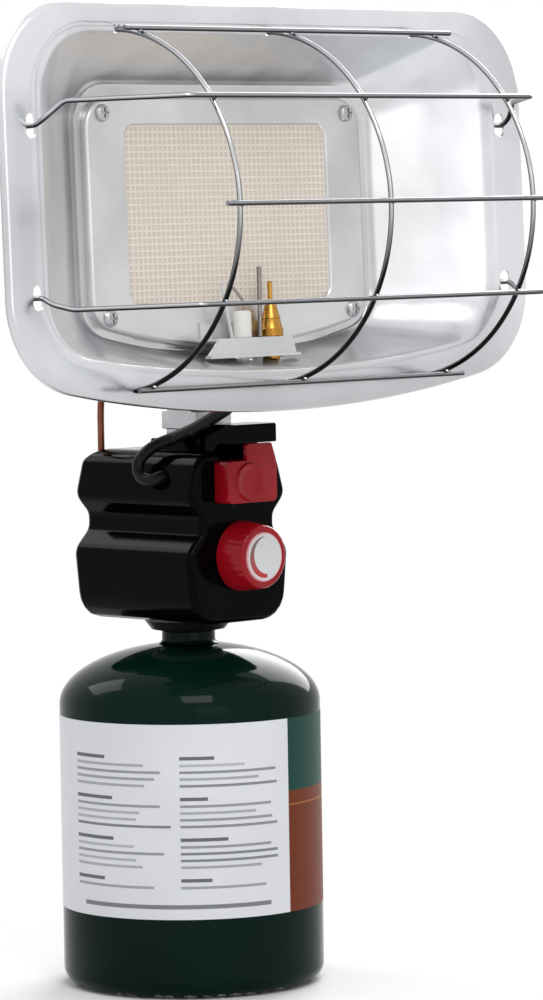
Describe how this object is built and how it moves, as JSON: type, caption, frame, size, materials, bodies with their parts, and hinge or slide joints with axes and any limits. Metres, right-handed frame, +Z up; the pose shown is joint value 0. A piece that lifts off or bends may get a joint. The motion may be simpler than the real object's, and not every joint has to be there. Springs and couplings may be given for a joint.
{
  "type": "portable propane heater",
  "caption": "Tabletop radiant gas heater: a wide pressed reflector with a wire guard and ceramic burner on a black valve housing, screwed onto a small gas cylinder.",
  "frame": {"origin": "centre of the cylinder's base, on the surface it stands on", "axes": "+Z up along the cylinder's axis; the heater faces -Y; +X is to the right of someone facing it from the front, looking along +Y"},
  "size_m": [0.268, 0.1601, 0.3639],
  "materials": {
    "cylinder_enamel": "gloss",
    "bare_steel": "satin",
    "reflector_steel": "bright rolled",
    "frame_steel": "satin",
    "guard_wire": "bright",
    "zinc_casting": "as cast",
    "brass": "satin",
    "copper": "oxidised",
    "black_plastic": "gloss",
    "red_plastic": "gloss",
    "dial_plastic": "satin",
    "cable_sleeve": "matt",
    "seal_rubber": "matt",
    "ceramic": "matt",
    "white_ceramic": "glazed",
    "fibre_gasket": "fibrous"
  },
  "bodies": {
    "cylinder": {"gas_cylinder": "cylinder_enamel", "cylinder_neck": "cylinder_enamel", "check_valve": "brass"},
    "inlet_seal": {"inlet_gasket": "seal_rubber"},
    "head": {"valve_body": "zinc_casting", "regulator_diaphragm": "seal_rubber", "regulator_spring": "bare_steel", "regulator_cover": "zinc_casting", "gland_nut": "brass", "housing_front": "black_plastic", "housing_rear": "black_plastic", "housing_screws": "bare_steel", "button_hood": "black_plastic", "button_spring": "bare_steel", "piezo_igniter": "black_plastic", "safety_magnet": "brass", "copper_lead": "copper", "ignition_cable": "cable_sleeve", "burner_jet": "brass", "mixing_tube": "frame_steel", "neck_bracket": "frame_steel", "bracket_screws": "bare_steel", "reflector": "reflector_steel", "burner_chamber": "frame_steel", "plaque_gasket": "fibre_gasket", "burner_plaque": "ceramic", "burner_frame": "frame_steel", "frame_screws": "bare_steel", "pilot_bracket": "frame_steel", "pilot_fitting": "brass", "thermocouple": "bare_steel", "electrode_insulator": "white_ceramic", "spark_electrode": "bare_steel", "guard_hoop_left": "guard_wire", "guard_hoop_middle": "guard_wire", "guard_hoop_right": "guard_wire", "guard_wire_upper": "guard_wire", "guard_wire_lower": "guard_wire", "guard_rod_middle": "guard_wire", "guard_rod_top": "guard_wire", "guard_rod_bottom": "guard_wire"},
    "knob": {"control_knob": "red_plastic", "knob_dial": "dial_plastic", "valve_stem": "brass"},
    "button": {"ignition_button": "red_plastic", "button_plunger": "bare_steel", "piezo_striker": "dial_plastic"}
  },
  "joints": [
    {"name": "thread_rise", "type": "slide", "parent": "cylinder", "child": "inlet_seal", "axis": [0, 0, 1], "range_m": [0, 0.01016]},
    {"name": "head_turn", "type": "hinge", "parent": "inlet_seal", "child": "head", "pos_m": [0, 0, 0.146], "axis": [0, 0, 1], "range_deg": [0, 2880]},
    {"name": "knob_turn", "type": "hinge", "parent": "head", "child": "knob", "pos_m": [0, -0.0285, 0.16145], "axis": [0, -1, 0], "range_deg": [0, 270]},
    {"name": "button_press", "type": "slide", "parent": "head", "child": "button", "axis": [0, 1, 0], "range_m": [0, 0.005], "stiffness_N_per_m": 800, "springref_m": -0.0015, "deforming": ["button_spring"]}
  ],
  "couplings": [
    {"joint": "thread_rise", "follows": "head_turn", "m_per_rad": 0.00020213}
  ]
}
